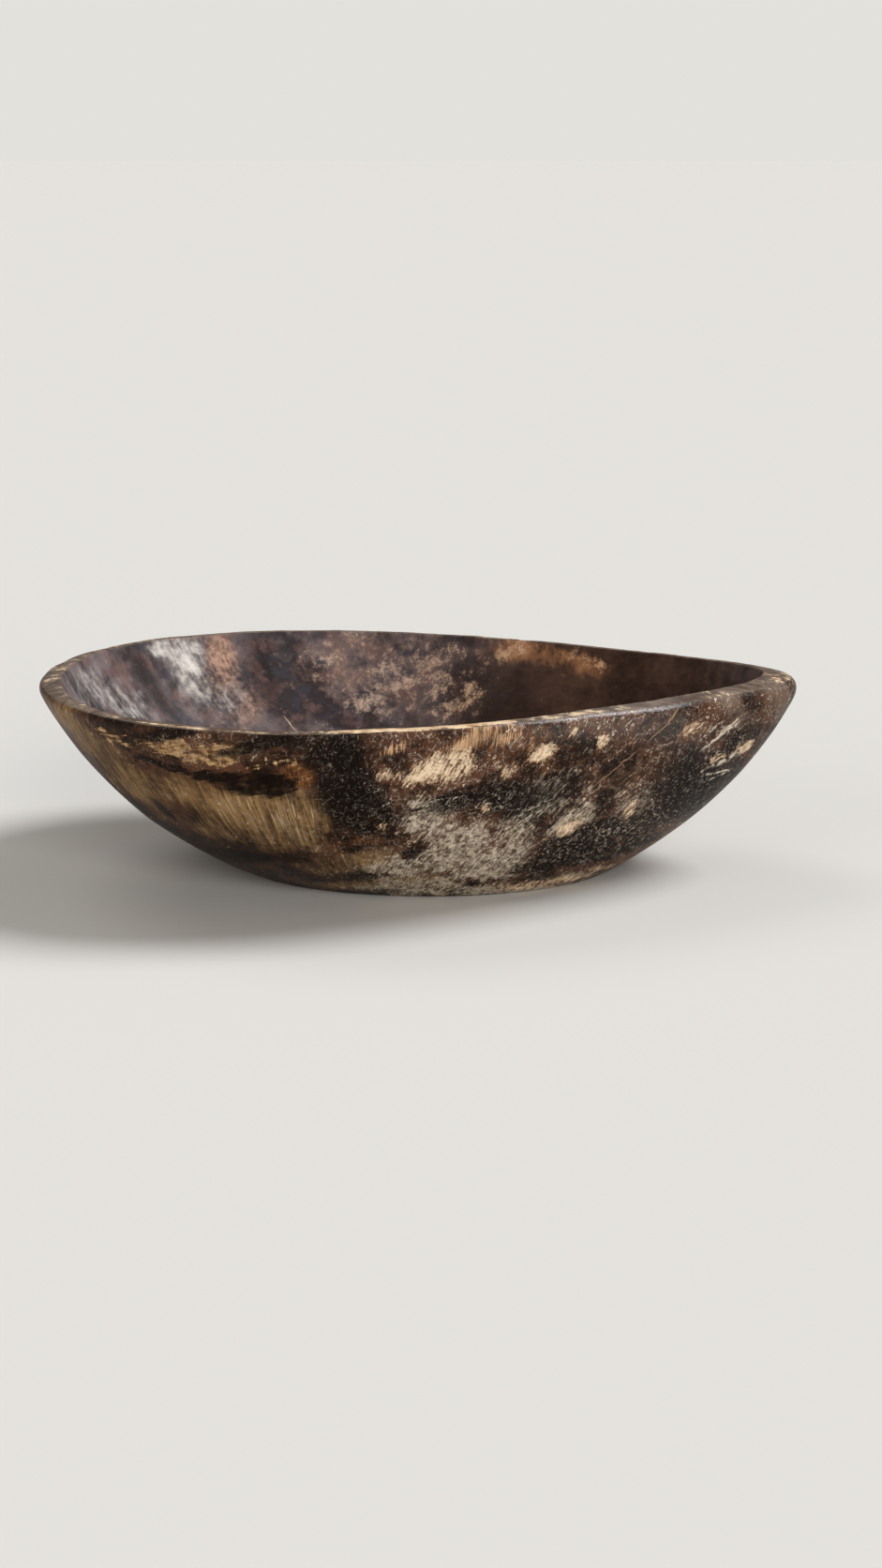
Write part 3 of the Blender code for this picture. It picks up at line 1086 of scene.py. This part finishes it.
def aged_wood(surface):
    material = bpy.data.materials.new("aged_wood")
    g = Graph(material)
    f = Fields(g)
    hollow = g.attribute("hollow")
    outer, scored, light = scratched_wall(g, f, surface)
    drawn = g.drawing(f.wavy, surface, PALE_INSIDE, hollow=True)
    inner = g.mix(g.product(drawn, 0.7), inner_wall(g, f), CREAM_INNER)
    edge = g.step(0.2, 0.7, f.stirred(g.attribute("lip"), ragged=0.15))
    colour = g.mix(edge, g.mix(hollow, outer, inner), lip_wood(g, f))

    rough = f.stirred(WOOD_ROUGHNESS, g.product(light, 0.2), g.product(hollow, 0.12), mottle=0.5)
    scored = g.product(scored, g.rest(hollow))
    height = g.total(g.product(f.grain, 0.5), g.product(f.brush, 0.4), g.product(f.fine, 0.4), scored)
    inputs = {"Height": height, "Strength": RELIEF_STRENGTH, "Distance": RELIEF_DEPTH}
    relief = g.node("ShaderNodeBump", inputs).outputs[0]
    finish = {
        "Base Color": colour,
        "Roughness": rough,
        "Specular IOR Level": WOOD_SHINE,
        "Coat Weight": g.attribute("gloss"),
        "Coat Roughness": POLISH_ROUGHNESS,
        "Normal": relief,
        "Coat Normal": relief,
    }
    for name, value in finish.items():
        g.feed(g.shader.inputs[name], value)
    return material


def stage():
    """A wide pale floor that meets the background without a line."""
    data = bpy.data.meshes.new("floor")
    corners = [(x * FLOOR_REACH, y * FLOOR_REACH, 0.0) for x, y in ((-1, -1), (1, -1), (1, 1), (-1, 1))]
    data.from_pydata(corners, [], [(0, 1, 2, 3)])
    floor = bpy.data.objects.new("floor", data)
    material = bpy.data.materials.new("pale_floor")
    material.use_nodes = True
    shader = material.node_tree.nodes["Principled BSDF"]
    shader.inputs["Base Color"].default_value = FLOOR_COLOUR
    shader.inputs["Roughness"].default_value = FLOOR_ROUGHNESS
    shader.inputs["Specular IOR Level"].default_value = 0.0
    data.materials.append(material)
    bpy.context.scene.collection.objects.link(floor)


def lamp(name, place, level, spread, colour):
    """A soft light from the side where the place lies, of the same strength everywhere."""
    data = bpy.data.lights.new(name, "SUN")
    data.energy = level
    data.angle = math.radians(spread)
    data.color = colour
    light = bpy.data.objects.new(name, data)
    light.location = place
    light.rotation_euler = Vector(place).to_track_quat("Z", "Y").to_euler()
    bpy.context.scene.collection.objects.link(light)


def sky():
    """Even light from all round, with the plain background where the camera looks past the floor."""
    world = bpy.data.worlds.new("studio")
    bpy.context.scene.world = world
    world.use_nodes = True
    nodes = world.node_tree.nodes
    links = world.node_tree.links
    light = nodes["Background"]
    light.inputs["Color"].default_value = SKY_COLOUR
    light.inputs["Strength"].default_value = SKY_LEVEL
    shown = nodes.new("ShaderNodeBackground")
    shown.inputs["Color"].default_value = BACKGROUND
    ray = nodes.new("ShaderNodeLightPath")
    seen = nodes.new("ShaderNodeMixShader")
    links.new(ray.outputs["Is Camera Ray"], seen.inputs[0])
    links.new(light.outputs[0], seen.inputs[1])
    links.new(shown.outputs[0], seen.inputs[2])
    links.new(seen.outputs[0], nodes["World Output"].inputs["Surface"])


def camera():
    data = bpy.data.cameras.new("camera")
    data.lens = LENS
    data.sensor_width = SENSOR
    data.sensor_fit = "AUTO"
    view = bpy.data.objects.new("camera", data)
    tilt = math.radians(VIEW_ELEVATION)
    back = Vector((0, -math.cos(tilt), math.sin(tilt)))
    view.location = Vector(VIEW_TARGET) + back * VIEW_DISTANCE
    view.rotation_euler = back.to_track_quat("Z", "Y").to_euler()
    bpy.context.scene.collection.objects.link(view)
    bpy.context.scene.camera = view
    bpy.context.scene.view_settings.view_transform = "Standard"


def bowl():
    data = divided(quad_copy(frame["nodes"]["bowl_body"]))
    data.shade_smooth()
    surface = shape(data)
    wear(data, surface)
    flat_map(data, surface)
    bake_map(data, surface)
    data.materials.clear()
    data.materials.append(aged_wood(surface))
    piece = bpy.data.objects.new("bowl", data)
    bpy.context.scene.collection.objects.link(piece)
    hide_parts("bowl_body")
    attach(piece, "root")


camera()
for settings in LAMPS:
    lamp(*settings)
sky()
stage()
bowl()
